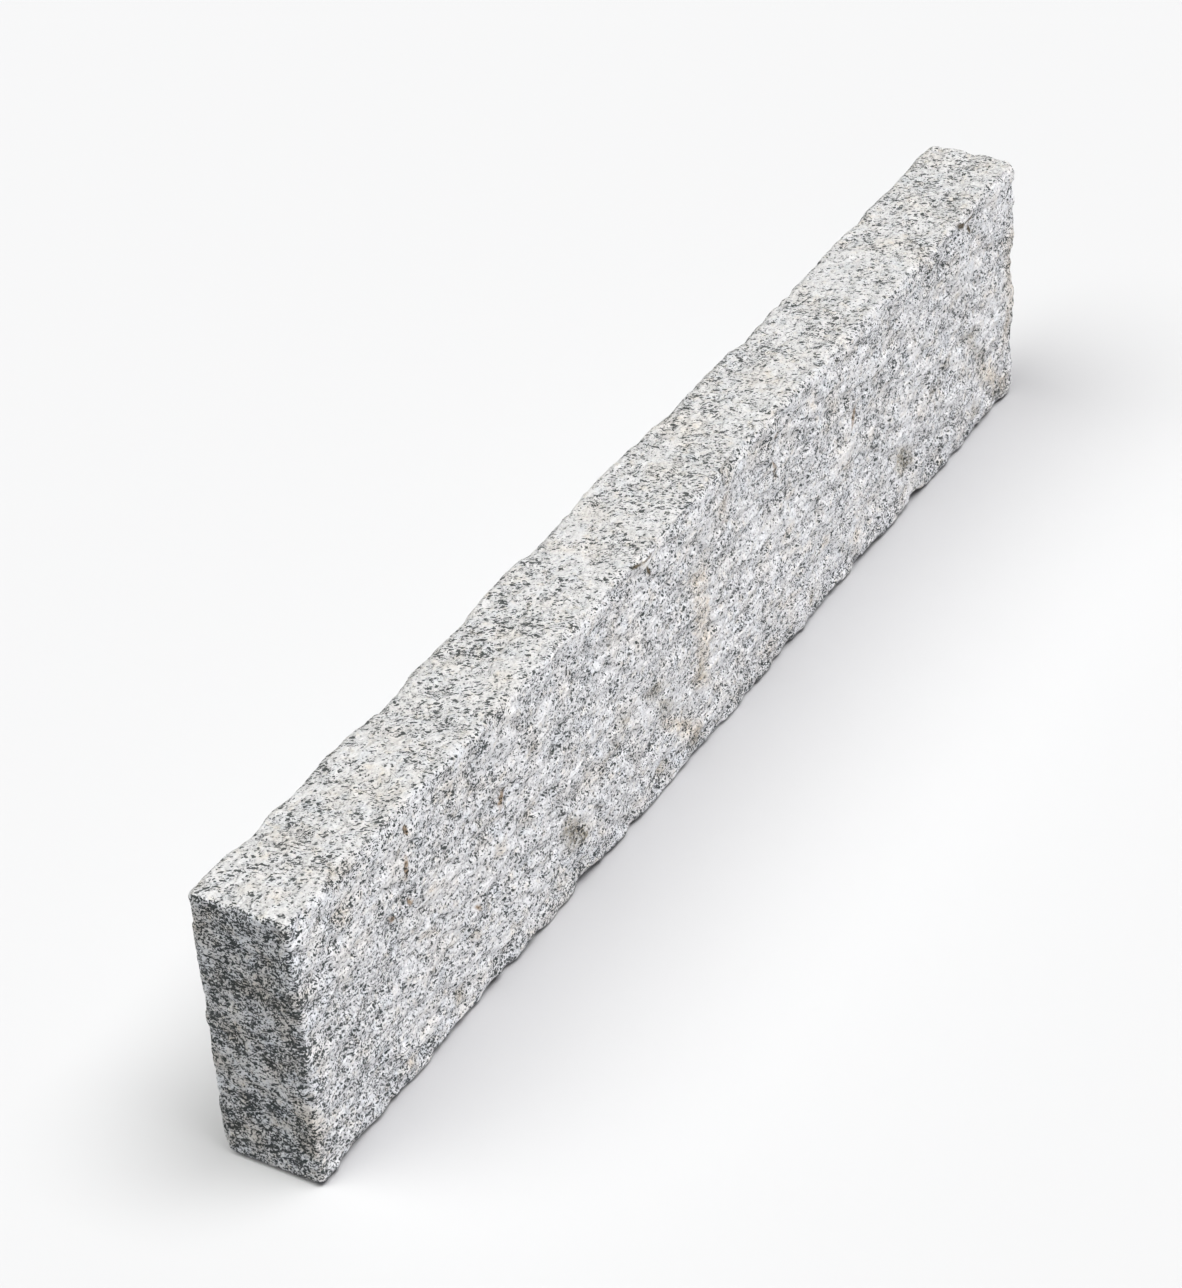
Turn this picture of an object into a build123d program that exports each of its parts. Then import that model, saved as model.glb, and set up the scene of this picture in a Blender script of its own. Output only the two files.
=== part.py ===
from build123d import *
import math
import os

# Stone lawn edging: one upright block of granite, split to size and dressed with a chisel.
# The stone stands on its bed, with +X along its length, its front face towards -Y and +Z up.
# The near end is at -X. The origin is the middle of the bed.

# Sizes of the stone over its mean faces, in millimetres
LENGTH = 1000
THICKNESS = 71
HEIGHT = 203

# The hewn faces swell past and fall short of their mean planes by up to this much
FACE_SWELL = 1.5

# Rounding of the worn arrises
ARRIS_RADIUS = 4

# Chisel scoops along the arrises: half-length along the arris and depth below it
SCOOP_REACH = 32
SCOOP_DEPTH = 3.2

# Spalls off the corners: half-width and depth
SPALL_REACH = 11
SPALL_DEPTH = 3.5

# How far the cutting faces run past the stone
OVERRUN = 20

# Spacing of the grid of points that shapes a hewn face, and how closely the face fits it
GRID_STEP = 17.5
FACE_TOLERANCE = 0.05

# Waves of each hewn face: turns along the length, turns across the face, where a crest stands
# along the length, and height as a share of the swell. The heights of a face add up to one.
FRONT_WAVE_SHARES = (
    (2.0, 0.35, 0.50, 0.40),
    (3.2, -0.80, 0.58, 0.30),
    (7.7, 1.30, 0.39, 0.30),
)
BACK_WAVE_SHARES = (
    (2.0, 0.30, 0.64, 0.45),
    (5.3, 0.90, 0.47, 0.30),
    (8.1, -1.20, 0.46, 0.25),
)
TOP_WAVE_SHARES = (
    (2.0, 0.20, 0.49, 0.50),
    (6.4, -0.30, 0.49, 0.30),
    (9.3, 0.50, 0.17, 0.20),
)

# Scoops of each arris: place along it, reach and depth, as shares of the arris, the scoop reach
# and the scoop depth. Long arrises run from the near end, upright ones from the bed.
TOP_BACK_SCOOP_SHARES = (
    (0.068, 0.80, 0.45),
    (0.106, 0.60, 0.80),
    (0.214, 0.90, 1.00),
    (0.262, 0.60, 0.60),
    (0.402, 0.90, 0.70),
    (0.570, 0.60, 0.65),
    (0.697, 1.10, 0.95),
    (0.868, 0.80, 0.45),
)
TOP_FRONT_SCOOP_SHARES = (
    (0.058, 0.70, 0.55),
    (0.190, 0.60, 0.35),
    (0.330, 0.80, 0.45),
    (0.412, 0.35, 0.35),
    (0.552, 0.80, 0.60),
    (0.700, 0.60, 0.35),
    (0.842, 0.70, 0.45),
    (0.912, 0.35, 0.35),
)
BED_FRONT_SCOOP_SHARES = (
    (0.075, 0.50, 0.40),
    (0.150, 0.90, 0.45),
    (0.200, 0.60, 0.85),
    (0.246, 0.60, 0.85),
    (0.328, 0.60, 0.85),
    (0.455, 0.55, 0.40),
    (0.688, 0.60, 0.55),
    (0.748, 0.50, 0.70),
    (0.822, 0.70, 0.70),
)
BED_BACK_SCOOP_SHARES = (
    (0.140, 0.90, 0.70),
    (0.365, 0.70, 0.55),
    (0.530, 1.00, 0.85),
    (0.765, 0.80, 0.60),
    (0.910, 0.60, 0.70),
)
NEAR_FRONT_SCOOP_SHARES = ((0.34, 0.60, 0.35), (0.72, 0.55, 0.40))
NEAR_BACK_SCOOP_SHARES = ((0.30, 0.45, 0.40), (0.62, 0.60, 0.40))
FAR_FRONT_SCOOP_SHARES = ((0.22, 0.35, 0.50), (0.58, 0.75, 1.00))
FAR_BACK_SCOOP_SHARES = ((0.42, 0.60, 0.55), (0.77, 0.50, 0.45))

# Spalled corners: end, side and level, each as -1 or 1, then reach and depth as shares
CORNER_SPALL_SHARES = (
    (-1, 1, -1, 0.75, 0.70),
    (1, -1, -1, 1.00, 1.00),
    (1, 1, 1, 1.00, 0.70),
    (1, -1, 1, 0.90, 0.80),
    (1, 1, -1, 0.80, 0.70),
)


def swell(wave_shares, x, across_share):
    """Height of a hewn face over its mean plane, in millimetres, positive outwards."""
    along_share = x / LENGTH + 1 / 2
    total_share = 0
    for turns_along, turns_across, crest_share, height_share in wave_shares:
        turn = turns_along * (along_share - crest_share) + turns_across * across_share
        total_share += height_share * math.cos(2 * math.pi * turn)
    return FACE_SWELL * total_share


def side_point(side, x, z):
    """Point of the front face, side -1, or of the back face, side 1."""
    wave_shares = FRONT_WAVE_SHARES if side < 0 else BACK_WAVE_SHARES
    return Vector(x, side * (THICKNESS / 2 + swell(wave_shares, x, z / HEIGHT)), z)


def top_point(x, y):
    """Point of the top face."""
    return Vector(x, y, HEIGHT + swell(TOP_WAVE_SHARES, x, y / THICKNESS))


def spread(start, end):
    """Evenly spaced values from start to end, about one grid step apart."""
    gaps = math.ceil(abs(end - start) / GRID_STEP)
    return [start + (end - start) * gap / gaps for gap in range(gaps + 1)]


def hewn_face(point_at, start, end):
    """Smooth face through a grid of points, run past the stone on all sides."""
    rows = [
        [point_at(x, across) for across in spread(start, end)]
        for x in spread(-LENGTH / 2 - OVERRUN, LENGTH / 2 + OVERRUN)
    ]
    return Face.make_surface_from_array_of_points(rows, tol=FACE_TOLERANCE)


def hewn_block():
    """Block with plane bed and ends, and with hewn front, back and top, before its edges wear."""
    blank = Box(
        LENGTH,
        THICKNESS + 2 * OVERRUN,
        HEIGHT + OVERRUN,
        align=(Align.CENTER, Align.CENTER, Align.MIN),
    )
    below, above = -OVERRUN, HEIGHT + 2 * OVERRUN
    depth = THICKNESS / 2 + 2 * OVERRUN
    front = hewn_face(lambda x, z: side_point(-1, x, z), below, above)
    back = hewn_face(lambda x, z: side_point(1, x, z), above, below)
    top = hewn_face(top_point, -depth, depth)
    block = blank.solid()
    for face in (front, back, top):
        block = block.split(face, keep=Keep.BOTTOM)
    return block


def dish_cutter(corner, outward, reach, depth):
    """Ball that cuts a dish of the given half-width and depth into a rounded arris or corner.

    Outward is -1, 0 or 1 along each axis. Its length over 1 is the share of the rounding's
    radius by which the rounding lies inside the sharp corner.
    """
    radius = (reach**2 + depth**2) / (2 * depth)
    inset = ARRIS_RADIUS * (outward.length - 1)
    centre = corner + outward.normalized() * (radius - depth - inset)
    return Pos(centre.X, centre.Y, centre.Z) * Sphere(radius)


def scoop_cutters(corner_at, outward, scoop_shares):
    """Balls for the scoops of one arris."""
    return [
        dish_cutter(
            corner_at(place_share),
            outward,
            SCOOP_REACH * reach_share,
            SCOOP_DEPTH * depth_share,
        )
        for place_share, reach_share, depth_share in scoop_shares
    ]


def long_corner(side, level, x):
    """Sharp corner of the section at x, at the bed for level -1 or at the top for level 1."""
    if level < 0:
        return side_point(side, x, 0)
    return top_point(x, side_point(side, x, HEIGHT).Y)


def long_cutters(side, level, scoop_shares):
    """Scoops of an arris along the length."""
    return scoop_cutters(
        lambda place_share: long_corner(side, level, LENGTH * (place_share - 1 / 2)),
        Vector(0, side, level),
        scoop_shares,
    )


def upright_cutters(end, side, scoop_shares):
    """Scoops of an upright arris, at the near end for end -1 or at the far end for end 1."""
    return scoop_cutters(
        lambda place_share: side_point(side, end * LENGTH / 2, HEIGHT * place_share),
        Vector(end, side, 0),
        scoop_shares,
    )


def spall_cutters():
    """Balls for the spalls off the corners."""
    return [
        dish_cutter(
            long_corner(side, level, end * LENGTH / 2),
            Vector(end, side, level),
            SPALL_REACH * reach_share,
            SPALL_DEPTH * depth_share,
        )
        for end, side, level, reach_share, depth_share in CORNER_SPALL_SHARES
    ]


def edging_stone():
    """The finished stone."""
    cutters = [
        *long_cutters(1, 1, TOP_BACK_SCOOP_SHARES),
        *long_cutters(-1, 1, TOP_FRONT_SCOOP_SHARES),
        *long_cutters(-1, -1, BED_FRONT_SCOOP_SHARES),
        *long_cutters(1, -1, BED_BACK_SCOOP_SHARES),
        *upright_cutters(-1, -1, NEAR_FRONT_SCOOP_SHARES),
        *upright_cutters(-1, 1, NEAR_BACK_SCOOP_SHARES),
        *upright_cutters(1, -1, FAR_FRONT_SCOOP_SHARES),
        *upright_cutters(1, 1, FAR_BACK_SCOOP_SHARES),
        *spall_cutters(),
    ]
    block = hewn_block()
    return fillet(block.edges(), ARRIS_RADIUS) - cutters


os.makedirs("parts", exist_ok=True)
export_step(edging_stone(), "parts/edging_stone.step")
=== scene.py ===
import functools
import math

import bpy
import numpy as np
from mathutils import Matrix, Vector


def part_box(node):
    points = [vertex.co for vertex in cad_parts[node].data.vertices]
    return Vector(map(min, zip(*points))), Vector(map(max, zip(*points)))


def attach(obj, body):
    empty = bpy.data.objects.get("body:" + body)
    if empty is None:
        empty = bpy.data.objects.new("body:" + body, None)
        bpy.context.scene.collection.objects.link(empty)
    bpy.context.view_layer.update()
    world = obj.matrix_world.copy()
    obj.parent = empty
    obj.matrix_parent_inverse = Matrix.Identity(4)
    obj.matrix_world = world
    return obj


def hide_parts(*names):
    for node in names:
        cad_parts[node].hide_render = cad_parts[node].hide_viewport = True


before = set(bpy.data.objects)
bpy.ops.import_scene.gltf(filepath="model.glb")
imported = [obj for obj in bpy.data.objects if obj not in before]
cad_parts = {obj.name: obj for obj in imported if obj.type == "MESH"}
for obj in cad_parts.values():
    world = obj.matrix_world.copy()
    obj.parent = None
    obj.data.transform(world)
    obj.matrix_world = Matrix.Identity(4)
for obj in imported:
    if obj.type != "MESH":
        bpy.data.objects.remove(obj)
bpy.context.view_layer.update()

# Stone lawn edging of hewn granite. Lengths are in metres unless a name ends in MM.
# The front face looks towards -Y, the near end towards -X.

NODE = "edging_stone"
MM = 0.001
X, Y, Z = range(3)

low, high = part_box(NODE)
NEAR_X_MM = low.x / MM
FRONT_Y_MM = low.y / MM
TOP_Z_MM = high.z / MM

# Seeds of the tool marks and of each noise
SEED = 20
WEAR_SEED = SEED
END_SEED = SEED + 2
WOBBLE_SEED = SEED + 3
WANDER_SEED = SEED + 40

# Numbers that stir the bits of a hash
HASH_FACTORS = (73856093, 19349663, 83492791)
HASH_SALT = 2654435761
HASH_STIR = 0x45D9F3B
HASH_SHIFT = 16
HASH_ROUNDS = 2
HASH_LIMIT = 0xFFFFFFFF

# Size of the mesh's faces
VOXEL = 2.5 * MM

# How far the relief is lifted off the solid, so that its ridges lie on the solid's faces,
# and how far its highest points may stand out of the solid's box
RISE = 0.9 * MM
PROUD = 0.8 * MM

# A point's share in a face grows from 0 to 1 while its normal's part along an axis grows between
# two limits: in general, then for tool marks, hollows, stains, bed wear, and the top's weathering
# and painted shade
FACING = (0.3, 0.8)
TOOL_FACING = (0.55, 0.9)
HOLLOW_FACING = (0.3, 0.6)
STAIN_FACING = (0.1, 0.5)
BED_WEAR_FACING = (0.15, 0.5)
TOP_FACING = (0.4, 0.8)

# An arris is where the largest part of the normal falls between these limits
ARRIS_FACING = (0.96, 0.80)

# Tool marks of each face: normal axis and side, axes of the face's plane, then spacing,
# half-length, half-width and depth in millimetres, and mean and scatter of their lean in radians
TOOL_MARKS_MM = (
    (Y, -1, (X, Z), 10, 18, 6, 3.4, (-0.15, 0.3)),
    (Y, 1, (X, Z), 10, 18, 6, 3.4, (0.15, 0.3)),
    (Z, 1, (X, Y), 10, 14, 7, 2.0, (0.5, 0.6)),
    (X, -1, (Y, Z), 9, 12, 5, 2.0, (-0.4, 0.5)),
    (X, 1, (Y, Z), 9, 12, 5, 2.0, (-0.4, 0.5)),
    (Z, -1, (X, Y), 14, 14, 8, 0.8, (0.5, 0.6)),
)

# Range of each tool mark's length, width and depth as shares of those sizes, and the power that
# makes shallow marks more common than deep ones
MARK_LENGTHS = (0.5, 1.6)
MARK_WIDTHS = (0.6, 1.4)
MARK_DEPTHS = (0.25, 1.0)
MARK_DEPTH_POWER = 1.5

# How much deeper tool marks and hollows are at their upper rims, as a share of their depth
MARK_BITE = 0.8
HOLLOW_BITE = 0.6

# Lumps of the split stone: size and height in millimetres, and the share of them left on arrises
LUMPS_MM = ((36, 0.45), (19, 0.95), (9, 0.80), (5, 0.55))
ARRIS_LUMPS = 0.6

# Broader lumps of the ends: size and height in millimetres
END_LUMPS_MM = (33, 1.2)

# Wear of the arrises: mean depth, then size and height of its lumps, all in millimetres, and
# how much deeper it goes at the bed, as a share
WEAR_MM = 0.9
WEAR_LUMPS_MM = ((19, 1.0), (7, 0.7))
BED_WEAR = 0.9

# Noises that make outlines ragged: size and reach in millimetres
WOBBLE_MM = (14, 5)
WANDER_MM = (8, 3.5)

# Edge of a spot, from no share to all of it, in half-lengths from its middle
SPOT_EDGE = (1.35, 0.3)

# Extra mica and grime, near the bed partly painted shade: share on the arrises, then shares beside
# the near end and above the bed, with the distances in millimetres at which they start and are full
ARRIS_DARK = 0.25
END_DARK_MM = ((0.7, 16, 4), (0.22, 130, 20))
BED_DARK_MM = (0.45, 24, 6)

# Painted shade in the deeper marks of the back and painted light on the ridges between them:
# share, then the depths in millimetres at which it starts and is full
BACK_MARK_SHADE_MM = (0.22, 1.4, 3.0)
BACK_RIDGE_LIGHT_MM = (0.16, 1.1, 0.2)

# Marks of the front face come twice: start and stretch of each run of them along the stone
REPEATS_MM = ((0, 1), (472, 1.07))

# Larger hollows of the front face, in millimetres: from the near end, below the top, half-length,
# half-height, lean in degrees, downwards to the right, and depth
HOLLOWS_MM = (
    (57, 5, 22, 9, 0, 2.6),
    (207, 84, 30, 6, 10, 2.6),
    (246, 62, 14, 8, -20, 2.2),
    (212, 130, 12, 9, 0, 2.4),
    (61, 138, 13, 9, 0, 2.4),
    (68, 162, 18, 5, -4, 2.4),
    (251, 153, 10, 7, 0, 2.4),
    (190, 161, 14, 8, 10, 2.2),
    (101, 99, 13, 7, -10, 2.0),
    (127, 112, 16, 7, -8, 2.0),
    (263, 189, 14, 8, 5, 2.6),
    (80, 188, 14, 8, 5, 2.6),
    (154, 150, 20, 6, 5, 2.0),
    (330, 118, 18, 7, 12, 2.0),
    (310, 158, 17, 12, 40, 2.4),
    (165, 45, 18, 6, 12, 1.8),
    (290, 92, 20, 5, 8, 2.0),
)

# Spots of the front face where mica and grime gather, partly painted shade in hollows and at the
# bed, laid out like the hollows, with strength last
DARK_SPOTS_MM = (
    (57, 6, 16, 8, 0, 0.5),
    (28, 58, 8, 5, 0, 0.4),
    (63, 138, 15, 9, 0, 0.6),
    (68, 162, 18, 5, -4, 0.6),
    (80, 190, 24, 7, 0, 0.5),
    (125, 135, 12, 6, -10, 0.3),
    (150, 150, 14, 4, 0, 0.4),
    (165, 8, 9, 6, 0, 0.4),
    (210, 16, 9, 7, 0, 0.45),
    (207, 84, 24, 6, 10, 0.35),
    (212, 130, 10, 8, 0, 0.5),
    (252, 152, 7, 6, 0, 0.6),
    (205, 189, 26, 7, 0, 0.5),
    (260, 187, 14, 6, 0, 0.4),
    (330, 165, 12, 5, 0, 0.35),
    (316, 161, 10, 9, 30, 0.6),
    (385, 136, 13, 10, 20, 0.5),
    (430, 185, 18, 7, 0, 0.4),
)

# Cream and tan stains of the front face
BEIGE_SPOTS_MM = (
    (52, 30, 9, 11, 0, 0.7),
    (141, 77, 7, 4, 0, 0.8),
    (136, 108, 10, 5, -10, 0.8),
    (222, 107, 10, 5, 20, 0.8),
    (188, 151, 8, 5, 15, 0.7),
    (160, 137, 8, 4, 0, 0.6),
    (172, 24, 9, 7, 30, 0.6),
    (205, 45, 14, 4, 15, 0.4),
    (236, 177, 10, 6, 0, 0.6),
    (105, 188, 8, 6, 0, 0.7),
    (135, 165, 18, 5, 10, 0.4),
    (260, 105, 8, 4, 0, 0.5),
    (340, 130, 14, 9, 0, 0.35),
    (420, 40, 6, 5, 0, 0.5),
    (487, 65, 16, 14, 0, 0.8),
    (487, 95, 13, 28, 0, 0.9),
    (490, 122, 13, 22, 10, 0.9),
    (483, 143, 12, 12, 0, 0.9),
    (450, 165, 32, 8, 42, 1.0),
    (475, 184, 10, 6, 20, 0.9),
)

# Brown grime and lichen of the front face
BROWN_SPOTS_MM = (
    (303, 148, 11, 9, 25, 0.8),
    (312, 159, 16, 12, 40, 0.8),
    (320, 164, 5, 7, 0, 0.9),
    (266, 58, 5, 5, 0, 0.6),
    (164, 181, 7, 6, 0, 0.6),
    (355, 126, 5, 6, 0, 0.7),
    (366, 124, 5, 6, 0, 0.6),
    (378, 111, 8, 7, 0, 0.5),
    (418, 112, 14, 7, 10, 0.6),
    (431, 134, 24, 6, 45, 0.5),
    (425, 184, 9, 7, 0, 0.5),
    (482, 141, 6, 7, 0, 0.6),
    (472, 190, 13, 9, 0, 0.6),
    (57, 4, 14, 7, 0, 0.4),
)

# Dark patches of painted shade and pale ones of painted light on the near end, in millimetres:
# from its back arris, below the top, half-length, half-height, lean in degrees and strength
END_DARK_SPOTS_MM = (
    (34, 8, 13, 10, 0, 0.8),
    (31, 27, 8, 5, 0, 0.6),
    (63, 40, 7, 15, 0, 0.8),
    (32, 58, 15, 8, 10, 0.8),
    (5, 88, 7, 10, 0, 0.6),
    (54, 93, 15, 7, 0, 0.7),
    (42, 108, 9, 4, -30, 0.5),
    (32, 150, 14, 6, 0, 0.8),
    (62, 160, 8, 7, 0, 0.8),
    (42, 180, 10, 6, 0, 0.7),
    (52, 190, 6, 6, 0, 1.0),
    (10, 185, 8, 6, 0, 0.5),
)
END_PALE_SPOTS_MM = (
    (10, 42, 8, 9, 0, 0.6),
    (50, 45, 8, 7, 0, 0.6),
    (20, 70, 8, 7, 0, 0.8),
    (60, 73, 7, 7, 0, 0.5),
    (33, 130, 10, 17, 0, 0.9),
    (62, 120, 8, 11, 0, 0.5),
    (27, 172, 9, 9, 0, 0.9),
    (50, 168, 7, 9, 0, 1.0),
)

# Thin strokes on the front face: from the near end, below the top, half-length, half-width,
# lean in degrees, downwards to the right, and strength
RUST_STROKES_MM = (
    (122, 18, 3, 3, 0, 1.0),
    (118, 44, 9, 2.2, 95, 1.0),
    (99, 70, 4, 2.5, 30, 0.9),
    (120, 72, 5, 2.5, 60, 0.9),
    (231, 70, 9, 3.0, -50, 1.0),
    (193, 132, 4, 2, 50, 0.9),
    (602, 19, 3, 3, 0, 0.9),
    (600, 45, 8, 2.2, 85, 0.9),
    (720, 71, 9, 3.0, -55, 1.0),
)
CRACK_STROKES_MM = (
    (405.5, 5, 8, 1.3, 20, 1.0),
    (419, 7, 9, 1.0, 2, 0.75),
    (419, 16.5, 5, 1.7, 68, 1.0),
    (900, 6.5, 9, 2.4, 25, 1.0),
    (918, 10, 9, 2.0, -5, 0.9),
    (918, 19, 5, 2.6, 75, 1.0),
)

# How deep a stroke goes into the stone, and its edge, from no share to all of it
STROKE_DEPTH_MM = 14
STROKE_EDGE = (1.25, 0.6)


# Noise and marks on arrays of points

def hashed(cells, salt):
    """Repeatable value from 0 to 1 for each row of whole numbers."""
    mixed = cells.astype(np.int64) @ np.array(HASH_FACTORS, np.int64)
    mixed = (mixed + salt * HASH_SALT) & HASH_LIMIT
    for _ in range(HASH_ROUNDS):
        mixed = ((mixed ^ (mixed >> HASH_SHIFT)) * HASH_STIR) & HASH_LIMIT
    return (mixed ^ (mixed >> HASH_SHIFT)) / HASH_LIMIT


def smooth_noise(points, size, salt):
    """Smooth noise from -1 to 1 whose lumps are about one size across."""
    scaled = points / size
    base = np.floor(scaled)
    part = scaled - base
    ease = part * part * part * (part * (part * 6 - 15) + 10)
    total = np.zeros(len(points))
    for corner in np.ndindex(2, 2, 2):
        step = np.array(corner)
        weight = np.prod(np.where(step, ease, 1 - ease), axis=1)
        total += weight * hashed(base + step, salt)
    return 2 * total - 1


def ramp(values, start, end):
    """Smooth rise from 0 to 1 between two values."""
    share = np.clip((values - start) / (end - start), 0, 1)
    return share * share * (3 - 2 * share)


def graded(lengths, share, start_mm, full_mm):
    """Part of a share at each length, from none at the start to all of it where it is full."""
    return share * ramp(lengths, start_mm * MM, full_mm * MM)


def facing(normals, axis, side, limits=FACING):
    """Share of each point in the face that looks along an axis, towards side -1 or 1."""
    return ramp(normals[:, axis] * side, *limits)


def either_end(normals):
    """Share of each point in the near or the far end."""
    return np.maximum(facing(normals, X, -1), facing(normals, X, 1))


def tool_marks(places, rng, spacing, half_length, half_width, depth, lean):
    """Depth, in millimetres, of a field of overlapping lens-shaped marks at places on a face."""
    lowest, highest = places.min(0), places.max(0)
    area = np.prod(highest - lowest)
    result = np.zeros(len(places))
    for _ in range(int(area / spacing**2)):
        centre = lowest + rng.random(2) * (highest - lowest)
        angle = rng.normal(*lean)
        along = np.array([math.cos(angle), math.sin(angle)])
        across = np.array([-along[1], along[0]])
        long_reach = half_length * rng.uniform(*MARK_LENGTHS)
        wide_reach = half_width * rng.uniform(*MARK_WIDTHS)
        deep = depth * rng.uniform(*MARK_DEPTHS) ** MARK_DEPTH_POWER
        near = np.nonzero(np.abs(places - centre).max(1) < long_reach)[0]
        offset = places[near] - centre
        u = offset @ along / long_reach
        v = offset @ across / wide_reach
        # The tool bites deeper towards the upper rim of its mark
        bowl = deep * np.maximum(1 - u * u - v * v, 0) * (1 + MARK_BITE * np.clip(v, -1, 1))
        result[near] = np.maximum(result[near], bowl)
    return result


def hollow_profile(u, v):
    """Depth share of a hollow, which is deeper towards its upper rim."""
    return np.maximum(1 - u * u - v * v, 0) * (1 - HOLLOW_BITE * np.clip(v, -1, 1))


def spot_profile(u, v):
    """Strength share of a spot, which fades towards its edge."""
    return ramp(np.sqrt(u * u + v * v), *SPOT_EDGE)


def spot_values(right, below, spots, profile):
    """Greatest value of a table of spots at places given to the right and below, in millimetres.

    The profile takes the place in a spot, as shares of its half-length and half-height.
    """
    result = np.zeros(len(right))
    for centre, drop, half_length, half_height, lean, strength in spots:
        turn = math.radians(lean)
        x = right - centre
        y = below - drop
        u = (x * math.cos(turn) + y * math.sin(turn)) / half_length
        v = (y * math.cos(turn) - x * math.sin(turn)) / half_height
        result = np.maximum(result, strength * profile(u, v))
    return result


def front_spots(points, spots, profile=spot_profile):
    """Greatest value of a table of spots at each point of the front face."""
    along = (points[:, X] - low.x) / MM
    down = (high.z - points[:, Z]) / MM
    runs = [
        spot_values((along - start) / stretch, down, spots, profile)
        for start, stretch in REPEATS_MM
    ]
    return np.maximum.reduce(runs)


def end_spots(points, spots):
    """Greatest value of a table of spots at each point of the near end."""
    across = (high.y - points[:, Y]) / MM
    down = (high.z - points[:, Z]) / MM
    return spot_values(across, down, spots, spot_profile)


def wandering(points):
    """Points moved about a little, so that spots get ragged outlines."""
    size, reach = WANDER_MM
    shifts = [smooth_noise(points, size * MM, WANDER_SEED + axis) for axis in (X, Y, Z)]
    return points + reach * MM * np.stack(shifts, 1)


# Stone

def fine_mesh():
    """Even mesh of the solid, close enough for the relief."""
    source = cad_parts[NODE]
    rough = bpy.data.objects.new("rough", source.data.copy())
    bpy.context.scene.collection.objects.link(rough)
    remesh = rough.modifiers.new("remesh", "REMESH")
    remesh.mode = "VOXEL"
    remesh.voxel_size = VOXEL
    depsgraph = bpy.context.evaluated_depsgraph_get()
    mesh = bpy.data.meshes.new_from_object(rough.evaluated_get(depsgraph))
    bpy.data.objects.remove(rough)
    return mesh


def vertex_rows(mesh, name):
    """One row of three numbers for each vertex."""
    rows = np.empty(len(mesh.vertices) * 3)
    mesh.vertices.foreach_get(name, rows)
    return rows.reshape(-1, 3)


def arris_wear(points, normals, bare):
    """Depth, in millimetres, worn off each point by its share that is bare of tool marks."""
    wear = WEAR_MM
    for index, (size, height) in enumerate(WEAR_LUMPS_MM):
        wear = wear + height * smooth_noise(points, size * MM, WEAR_SEED + index)
    bed_arris = facing(normals, Z, -1, BED_WEAR_FACING)
    return bare * (1 + BED_WEAR * bed_arris) * np.maximum(wear, 0)


def relief(points, normals):
    """Depth, in metres, of the hewn surface below its ridges at each point."""
    rng = np.random.default_rng(SEED)
    depth_mm = np.zeros(len(points))
    covered = np.zeros(len(points))
    for axis, side, plane, *shape in TOOL_MARKS_MM:
        share = facing(normals, axis, side, TOOL_FACING)
        where = share > 0
        depth_mm[where] += share[where] * tool_marks(points[where][:, plane] / MM, rng, *shape)
        covered = np.maximum(covered, share)
    front = facing(normals, Y, -1, HOLLOW_FACING)
    depth_mm = np.maximum(depth_mm, front * front_spots(points, HOLLOWS_MM, hollow_profile))
    depth_mm += arris_wear(points, normals, 1 - covered)
    lumpy = ARRIS_LUMPS + (1 - ARRIS_LUMPS) * covered
    for size, height in LUMPS_MM:
        depth_mm += lumpy * height * smooth_noise(points, size * MM, SEED + size)
    size, height = END_LUMPS_MM
    depth_mm += either_end(normals) * height * smooth_noise(points, size * MM, END_SEED)
    return depth_mm * MM


def lift(normals):
    """How far the relief is lifted at each point. The bed's relief lies inside the solid instead."""
    return RISE * (1 - 2 * facing(normals, Z, -1))


def cut_relief(mesh, points, normals, depth):
    """Move the mesh's points from the solid's faces to the hewn surface."""
    out = lift(normals) - depth
    out = np.minimum(out, PROUD * np.tanh(out / PROUD))
    moved = points + normals * out[:, None]
    moved[:, Z] = np.maximum(moved[:, Z], 0)
    mesh.vertices.foreach_set("co", moved.ravel())
    mesh.polygons.foreach_set("use_smooth", np.ones(len(mesh.polygons), bool))


def darkness(points, normals):
    """Share of extra mica, dirt and painted shade: on ends and arrises, beside the near end and bed,
    in spots.
    """
    size, reach = WOBBLE_MM
    wobble = reach * MM * smooth_noise(points, size * MM, WOBBLE_SEED)
    from_end = points[:, X] - low.x + wobble
    beside_end = np.maximum.reduce([graded(from_end, *rim) for rim in END_DARK_MM])
    # Above the bed the darkness is partly grime and partly painted shade
    beside_bed = graded(points[:, Z] + wobble, *BED_DARK_MM)
    spots = front_spots(wandering(points), DARK_SPOTS_MM)
    front = facing(normals, Y, -1) * np.maximum.reduce([beside_end, beside_bed, spots])
    arris = ARRIS_DARK * ramp(np.abs(normals).max(1), *ARRIS_FACING)
    # The ends take the full share, partly for denser mica and partly as painted shade
    return np.maximum.reduce([either_end(normals), arris, front])


def shade(points, normals, depth):
    """Painted shade, above 0, and painted light, below 0.

    They come from tables on the near end, and from the relief on the back: darker in its deep marks
    and paler on its ridges.
    """
    places = wandering(points)
    patches = end_spots(places, END_DARK_SPOTS_MM) - end_spots(places, END_PALE_SPOTS_MM)
    mark_shade_and_ridge_light = graded(depth, *BACK_MARK_SHADE_MM) - graded(depth, *BACK_RIDGE_LIGHT_MM)
    return facing(normals, X, -1) * patches + facing(normals, Y, 1) * mark_shade_and_ridge_light


def store_values(mesh, points, normals, depth):
    """Store for each vertex the values that the material reads."""
    front = facing(normals, Y, -1, STAIN_FACING)
    places = wandering(points)
    values = {
        "hollow": depth / MM,
        "darkness": darkness(points, normals),
        "shade": shade(points, normals, depth),
        "top_weather_and_shade": facing(normals, Z, 1, TOP_FACING),
        "beige": front * front_spots(places, BEIGE_SPOTS_MM),
        "brown": front * front_spots(places, BROWN_SPOTS_MM),
    }
    for name, shares in values.items():
        layer = mesh.attributes.new(name, "FLOAT", "POINT")
        layer.data.foreach_set("value", shares.astype(np.float32))


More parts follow.
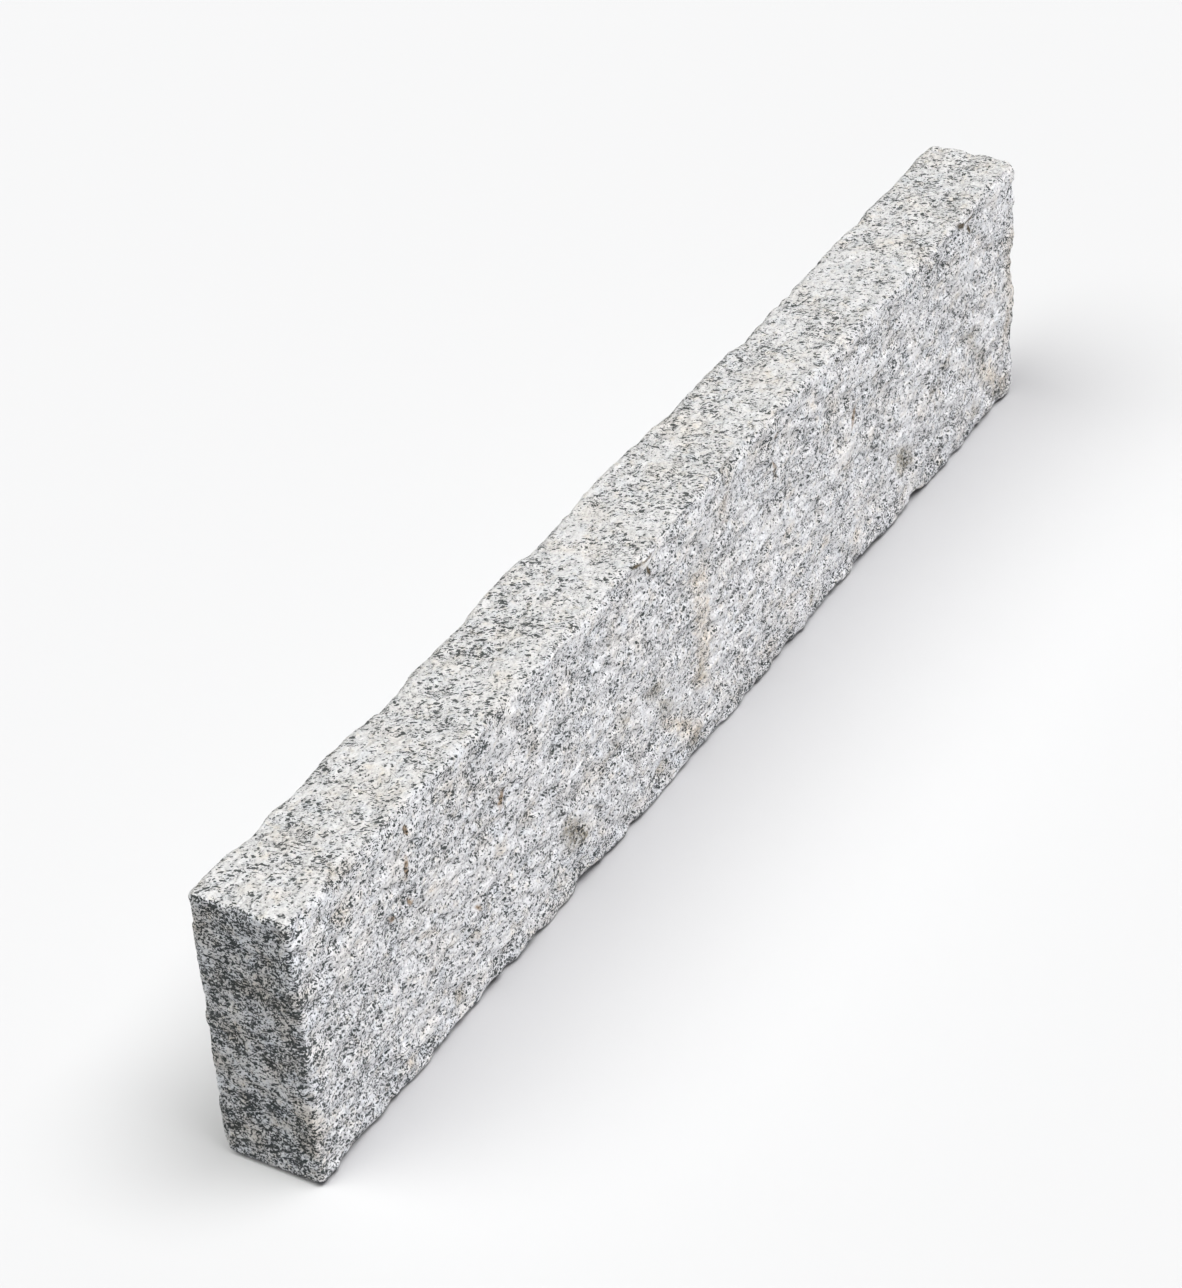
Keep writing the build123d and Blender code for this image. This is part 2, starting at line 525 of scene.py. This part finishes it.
def stone():
    """The hewn stone, with relief cut into the solid's faces."""
    mesh = fine_mesh()
    points = vertex_rows(mesh, "co")
    normals = vertex_rows(mesh, "normal")
    depth = relief(points, normals)
    cut_relief(mesh, points, normals, depth)
    store_values(mesh, points, normals, depth)
    mesh.update()

    piece = bpy.data.objects.new("hewn_stone", mesh)
    bpy.context.scene.collection.objects.link(piece)
    piece.data.materials.clear()
    piece.data.materials.append(granite())
    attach(piece, "root")
    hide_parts(NODE)
    return piece


# Materials

class Graph:
    """Short calls for the nodes of one material."""

    def __init__(self, name):
        self.material = bpy.data.materials.new(name)
        self.material.use_nodes = True
        self.tree = self.material.node_tree
        self.shader = self.tree.nodes["Principled BSDF"]

    def feed(self, node, inputs):
        """Link the sockets among the inputs to a node, and set the plain values."""
        for key, value in inputs.items():
            if isinstance(value, bpy.types.NodeSocket):
                self.tree.links.new(value, node.inputs[key])
            else:
                node.inputs[key].default_value = value

    def node(self, kind, inputs, output=0, **settings):
        made = self.tree.nodes.new(kind)
        for key, value in settings.items():
            setattr(made, key, value)
        self.feed(made, inputs)
        return made.outputs[output]

    def math(self, operation, a, b, clamp=False):
        return self.node("ShaderNodeMath", {0: a, 1: b}, operation=operation, use_clamp=clamp)

    def fold(self, operation, values):
        """Result of an operation on several values in turn."""
        return functools.reduce(lambda a, b: self.math(operation, a, b), values)

    def vector(self, operation, a, b):
        return self.node("ShaderNodeVectorMath", {0: a, 1: b}, operation=operation)

    def noise(self, place, size_mm, detail=2.0, output=0):
        inputs = {"Vector": place, "Scale": 1 / size_mm, "Detail": detail}
        return self.node("ShaderNodeTexNoise", inputs, output)

    def grains(self, place, size_mm):
        """One even value from 0 to 1 for each grain."""
        colour = self.node("ShaderNodeTexVoronoi", {"Vector": place, "Scale": 1 / size_mm}, 1)
        return self.node("ShaderNodeSeparateColor", {0: colour}, 0)

    def spread(self, value, start, end, low_value=0.0, high_value=1.0):
        """Value carried over from one range to another."""
        inputs = {
            "Value": value,
            "From Min": start,
            "From Max": end,
            "To Min": low_value,
            "To Max": high_value,
        }
        return self.node("ShaderNodeMapRange", inputs)

    def mix(self, share, a, b, blend="MIX"):
        inputs = {0: share, 6: a, 7: b}
        return self.node("ShaderNodeMix", inputs, 2, data_type="RGBA", blend_type=blend)

    def turned(self, place, angles, scale=(1, 1, 1)):
        inputs = {"Vector": place, "Rotation": angles, "Scale": scale}
        return self.node("ShaderNodeMapping", inputs)

    def local(self, place, centre, angles, sizes):
        """Places as seen from a centre, along axes that are turned and measured in sizes."""
        inputs = {"Vector": place, "Location": centre, "Rotation": angles, "Scale": sizes}
        return self.node("ShaderNodeMapping", inputs, vector_type="TEXTURE")

    def shaken(self, place, size_mm, reach_mm):
        """Places moved about by noise."""
        shift = self.vector("SUBTRACT", self.noise(place, size_mm, output=1), (0.5, 0.5, 0.5))
        shift = self.vector("MULTIPLY", shift, (reach_mm, reach_mm, reach_mm))
        return self.vector("ADD", place, shift)

    def value(self, name):
        return self.node("ShaderNodeAttribute", {}, 2, attribute_name=name)

    def tones(self, value, stops):
        output = self.node("ShaderNodeValToRGB", {0: value})
        elements = output.node.color_ramp.elements
        while len(elements) < len(stops):
            elements.new(1.0)
        for element, (position, colour) in zip(elements, stops):
            element.position = position
            element.color = (*colour, 1)
        return output


# Tones of the crystals, from dark to pale
CRYSTALS = (
    (0.00, (0.035, 0.040, 0.040)),
    (0.07, (0.08, 0.085, 0.085)),
    (0.13, (0.23, 0.233, 0.235)),
    (0.26, (0.390, 0.393, 0.399)),
    (0.40, (0.497, 0.500, 0.507)),
    (0.55, (0.557, 0.560, 0.567)),
    (0.75, (0.598, 0.600, 0.605)),
    (1.00, (0.640, 0.641, 0.643)),
)

# Sizes of the grains in millimetres, and the share of each in a crystal's tone
FINE_GRAIN_MM = 1.0
COARSE_GRAIN_MM = 2.5
FINE_SHARE = 0.6
COARSE_SHARE = 0.4

# Noises of the stone: size in millimetres and detail
CLUSTER_MM = (11, 3.0)
BLOTCH_MM = (15, 4.0)
BROAD_MM = (42, 2.0)
GRIT_MM = (2.6, 4.0)
LEDGE_MM = (5, 3.0)
RAGGED_MM = (3.0, 3.0)
EARTH_MM = (22, 4.0)
FLAKE_CLUSTER_MM = (8, 3.0)
GATHERING_MM = (5, 3.0)

# Noises that move places about: size and reach in millimetres
GRAIN_SHAKE_MM = (1.9, 1.3)
RUST_SHAKE_MM = (4, 4)
CRACK_SHAKE_MM = (3, 2)

# Loss of the crystals' tone: limits of a noise or value, and the loss at each of them.
# The last one is the loss in full painted shade.
CLUSTER_LOSS = (0.30, 0.70, -0.12, 0.10)
BROAD_LOSS = (0.30, 0.70, -0.06, 0.05)
HOLLOW_LOSS = (0.5, 2.2, -0.02, 0.08)
GRIT_LOSS = (0.35, 0.62, 0.11, -0.07)
BLOTCH_LOSS = (0.38, 0.62, -0.30, 0.28)
DARK_GRAIN_LOSS = (0, 1, 0.36, -0.36)
SHADE_LOSS = 0.28

# Share of mica, laid out like the losses, and what is left of it on the weathered top
CLUSTER_MICA = (0.36, 0.68, 0.02, 0.15)
BROAD_MICA = (0.35, 0.65, -0.03, 0.03)
GATHERED_MICA = (0.38, 0.64, -0.02, 0.30)
SHADE_MICA = 0.07
WEATHERED_MICA = (0, 1, 1.0, 0.95)

# Flakes of mica, which lie flat in the stone: turn, size in millimetres and how common they are
FLAKES_MM = (
    ((0.10, 0.15, -1.05), (1.5, 0.85, 0.75), 0.8),
    ((-0.15, 0.10, -0.80), (2.3, 1.25, 1.1), 0.95),
    ((0.20, -0.10, -1.30), (3.6, 1.7, 1.7), 0.45),
)

# Colours that darken or tint the stone where they lie on it
MICA = (0.035, 0.042, 0.042, 1)
WARM = (1.0, 0.975, 0.94, 1)
FLECK = (0.99, 0.95, 0.88, 1)
COOL = (0.955, 0.978, 1.0, 1)
# Partly weathering, partly painted shade: warms the top and darkens it against its stronger light
WEATHER_AND_TOP_SHADE = (0.885, 0.878, 0.862, 1)
# Painted shade: a bluish cast on the ends and, more faintly, on other dark places
SHADED = (0.97, 0.99, 1.02, 1)
EARTH = (0.90, 0.85, 0.78, 1)
BEIGE = (0.955, 0.885, 0.79, 1)
BROWN = (0.48, 0.43, 0.33, 1)
RUST = (0.42, 0.31, 0.21, 1)
CRACK = (0.15, 0.115, 0.07, 1)

# Tints in patches: turn, size in millimetres and detail of a noise, its limits and the colour
TINTS_MM = (
    ((0, 0, 0), (24, 3.0), (0.50, 0.68), WARM),
    ((0.5, 0.8, 0.1), (6.5, 3.0), (0.55, 0.72), FLECK),
    ((1.5, 0.3, 0.7), (10, 3.0), (0.50, 0.68), COOL),
)
EARTH_LIMITS = (0.48, 0.66)
RAGGED_LIMITS = (0.35, 0.65, 0.45, 1.4)

# Gloss of the stone: roughness from grain to grain, and strength of its reflections
ROUGHNESS = (0, 1, 0.9, 0.6)
SPECULAR = 0.35

# Finest relief, as bump: its height in metres, shares of the grains and of the ledges in it,
# the limits that make a ledge, and how much higher it is where the stone is dark
BUMP_HEIGHT = 1.4 * MM
BUMP_GRAINS = 0.25
BUMP_LEDGES = 0.5
LEDGE_LIMITS = (0.44, 0.56)
DARK_BUMP = (0.5, 1, 1.0, 1.6)


def crystals(g, place, bent, grit):
    """Pale feldspar and grey quartz, darker in hollows, on the ends and in patches, partly as
    painted shade.
    """
    fine = g.grains(bent, FINE_GRAIN_MM)
    coarse = g.grains(g.turned(bent, (0.4, 0.2, 0.9), (0.8, 1, 1)), COARSE_GRAIN_MM)
    blotch = g.noise(g.turned(place, (0.3, 0, 0)), *BLOTCH_MM)
    dark = g.value("darkness")
    fine_part = g.math("MULTIPLY", fine, FINE_SHARE)
    coarse_part = g.math("MULTIPLY", coarse, COARSE_SHARE)
    tone = g.math("ADD", fine_part, coarse_part)
    losses = (
        g.spread(g.noise(place, *CLUSTER_MM), *CLUSTER_LOSS),
        g.spread(g.noise(place, *BROAD_MM), *BROAD_LOSS),
        # Painted shade and light: darker where the relief is deep, a little paler where it is
        # shallow
        g.spread(g.value("hollow"), *HOLLOW_LOSS),
        # Painted shade and light: this noise also raises the bump, so the tone is darker in its dips
        # and paler on its rises
        g.spread(grit, *GRIT_LOSS),
        g.math("MULTIPLY", dark, g.spread(blotch, *BLOTCH_LOSS)),
        g.math("MULTIPLY", dark, g.spread(fine, *DARK_GRAIN_LOSS)),
        g.math("MULTIPLY", g.value("shade"), SHADE_LOSS),
    )
    return g.tones(g.fold("SUBTRACT", (tone, *losses)), CRYSTALS)


def flakes(g, place, bent):
    """Share of black mica, in flakes that gather in clusters and are a little faded on the top."""
    gathered = g.spread(g.noise(g.turned(place, (0.2, 0.6, 0.4)), *GATHERING_MM), *GATHERED_MICA)
    shares = (
        g.spread(g.noise(place, *FLAKE_CLUSTER_MM), *CLUSTER_MICA),
        g.spread(g.noise(place, *BROAD_MM), *BROAD_MICA),
        g.math("MULTIPLY", g.value("darkness"), gathered),
        g.math("MULTIPLY", g.value("shade"), SHADE_MICA),
    )
    share = g.fold("ADD", shares)
    layers = []
    for angles, size_mm, common in FLAKES_MM:
        flat = g.local(bent, (0, 0, 0), angles, size_mm)
        layers.append(g.math("LESS_THAN", g.grains(flat, 1.0), g.math("MULTIPLY", share, common)))
    left = g.spread(g.value("top_weather_and_shade"), *WEATHERED_MICA)
    return g.math("MULTIPLY", g.fold("MAXIMUM", layers), left)


def tinted(g, place, ragged, colour):
    """Colour with tints of weathering and painted shade, and with the stains of the front face."""
    dark = g.value("darkness")
    earth = g.spread(g.noise(g.turned(place, (0.9, 0.1, 0.3)), *EARTH_MM), *EARTH_LIMITS)
    tints = [
        (g.spread(g.noise(g.turned(place, angles), *noise_mm), *limits), tint)
        for angles, noise_mm, limits, tint in TINTS_MM
    ]
    tints += [
        # The top's tint is partly weathering and partly painted shade
        (g.value("top_weather_and_shade"), WEATHER_AND_TOP_SHADE),
        # Painted shade: the dark places, the ends most, get a bluish cast
        (dark, SHADED),
        (g.math("MULTIPLY", dark, earth), EARTH),
        (g.math("MULTIPLY", g.value("beige"), ragged, clamp=True), BEIGE),
        (g.math("MULTIPLY", g.value("brown"), ragged, clamp=True), BROWN),
    ]
    for share, tint in tints:
        colour = g.mix(share, colour, tint, "MULTIPLY")
    return colour


def stroked(g, place, ragged, colour, stain, strokes):
    """Colour with thin strokes of a stain along the front face and over its top arris."""
    shares = []
    for along, down, half_length, half_width, lean, strength in strokes:
        centre = (NEAR_X_MM + along, FRONT_Y_MM, TOP_Z_MM - down)
        sizes = (half_length, STROKE_DEPTH_MM, half_width)
        local = g.local(place, centre, (0, math.radians(lean), 0), sizes)
        reach = g.node("ShaderNodeVectorMath", {0: local}, 1, operation="LENGTH")
        shares.append(g.spread(reach, *STROKE_EDGE, 0, strength))
    share = g.math("MULTIPLY", g.fold("MAXIMUM", shares), ragged, clamp=True)
    return g.mix(share, colour, stain, "MULTIPLY")


def bumps(g, place, bent, grit):
    """Normal of the finest relief: grit, grains and ledges."""
    ledge = g.noise(g.turned(place, (0, 0.15, 0), (0.3, 0.55, 1)), *LEDGE_MM)
    parts = (
        grit,
        g.math("MULTIPLY", g.grains(bent, FINE_GRAIN_MM), BUMP_GRAINS),
        g.math("MULTIPLY", g.spread(ledge, *LEDGE_LIMITS), BUMP_LEDGES),
    )
    height = g.math("MULTIPLY", g.fold("ADD", parts), g.spread(g.value("darkness"), *DARK_BUMP))
    inputs = {"Strength": 1.0, "Distance": BUMP_HEIGHT, "Height": height}
    return g.node("ShaderNodeBump", inputs)


def granite():
    """Fine grey granite: pale feldspar, grey quartz and flakes of black mica, with its stains."""
    g = Graph("granite")
    metres = g.node("ShaderNodeTexCoord", {}, 3)
    place = g.vector("MULTIPLY", metres, (1 / MM, 1 / MM, 1 / MM))
    bent = g.shaken(place, *GRAIN_SHAKE_MM)
    grit = g.noise(g.turned(place, (0, 0.1, 0), (0.55, 0.8, 1)), *GRIT_MM)
    ragged = g.spread(g.noise(place, *RAGGED_MM), *RAGGED_LIMITS)

    colour = g.mix(flakes(g, place, bent), crystals(g, place, bent, grit), MICA)
    colour = tinted(g, place, ragged, colour)
    colour = stroked(g, g.shaken(place, *RUST_SHAKE_MM), ragged, colour, RUST, RUST_STROKES_MM)
    colour = stroked(g, g.shaken(place, *CRACK_SHAKE_MM), 1.0, colour, CRACK, CRACK_STROKES_MM)
    surface = {
        "Base Color": colour,
        "Roughness": g.spread(g.grains(bent, COARSE_GRAIN_MM), *ROUGHNESS),
        "Specular IOR Level": SPECULAR,
        "Normal": bumps(g, place, bent, grit),
    }
    g.feed(g.shader, surface)
    return g.material


# Stage

# Half-width and colour of the floor
FLOOR_HALF = 100.0
FLOOR_COLOUR = (0.590, 0.590, 0.606, 1)

# Softboxes: name, what it lights, direction in which it stands, strength, spread in degrees
# and colour
SOFTBOXES = (
    ("top_softbox", "all", (0.12, -0.30, 0.946), 2.86, 36, (1.0, 0.998, 0.985)),
    ("front_softbox", "stone", (0.033, -0.885, 0.465), 2.87, 40, (0.985, 0.975, 1.0)),
    ("rear_softbox", "stone", (-0.42, 0.38, 0.824), 1.55, 36, (0.99, 1.0, 0.97)),
    ("back_softbox", "stone", (-0.30, 0.90, 0.316), 0.9, 40, (0.99, 1.0, 0.97)),
    ("floor_softbox", "floor", (-0.41, 0.31, 0.858), 2.45, 46, (0.99, 1.0, 0.95)),
)

# Faint light from all round
STUDIO_COLOUR = (0.92, 0.87, 1.0, 1)
STUDIO_STRENGTH = 0.07


def floor():
    """Pale level floor that the stone stands on."""
    half = FLOOR_HALF
    mesh = bpy.data.meshes.new("floor")
    corners = [(-half, -half, 0), (half, -half, 0), (half, half, 0), (-half, half, 0)]
    mesh.from_pydata(corners, [], [(0, 1, 2, 3)])
    plane = bpy.data.objects.new("floor", mesh)
    bpy.context.scene.collection.objects.link(plane)
    g = Graph("floor")
    g.feed(g.shader, {"Base Color": FLOOR_COLOUR, "Roughness": 1.0, "Specular IOR Level": 0.0})
    mesh.materials.append(g.material)
    return plane


def only(thing):
    """Collection that keeps a light to one thing."""
    lit = bpy.data.collections.new(thing.name + "_only")
    lit.objects.link(thing)
    return lit


def soft_sun(name, lit, towards, strength, spread_deg, colour):
    """Wide soft light from far away, on a collection of things or, without one, on all of them."""
    light = bpy.data.lights.new(name, "SUN")
    light.energy = strength
    light.angle = math.radians(spread_deg)
    light.color = colour
    lamp = bpy.data.objects.new(name, light)
    lamp.rotation_euler = Vector(towards).to_track_quat("Z", "Y").to_euler()
    bpy.context.scene.collection.objects.link(lamp)
    lamp.light_linking.receiver_collection = lit


def lights(piece, ground):
    """Soft light from above and all round, some of it kept off the floor or off the stone."""
    receivers = {"all": None, "stone": only(piece), "floor": only(ground)}
    for name, lit, *settings in SOFTBOXES:
        soft_sun(name, receivers[lit], *settings)
    world = bpy.data.worlds.new("studio")
    world.use_nodes = True
    background = world.node_tree.nodes["Background"]
    background.inputs["Color"].default_value = STUDIO_COLOUR
    background.inputs["Strength"].default_value = STUDIO_STRENGTH
    bpy.context.scene.world = world


def camera():
    """Camera fitted to the stone's outline in the photograph."""
    place = Vector((-1.71409, -0.99947, 1.49597))
    right = Vector((0.49476, -0.86759, -0.05006))
    up = Vector((0.52804, 0.25437, 0.81023))
    back = Vector((-0.69021, -0.42730, 0.58397))
    data = bpy.data.cameras.new("camera")
    data.sensor_fit = "VERTICAL"
    data.sensor_height = 36.0
    data.lens = 99.12
    # Far enough for the whole floor
    data.clip_end = 3 * FLOOR_HALF
    eye = bpy.data.objects.new("camera", data)
    turn = Matrix((right, up, back)).transposed().to_4x4()
    eye.matrix_world = Matrix.Translation(place) @ turn
    bpy.context.scene.collection.objects.link(eye)
    bpy.context.scene.camera = eye
    bpy.context.scene.view_settings.view_transform = "Standard"


lights(stone(), floor())
camera()
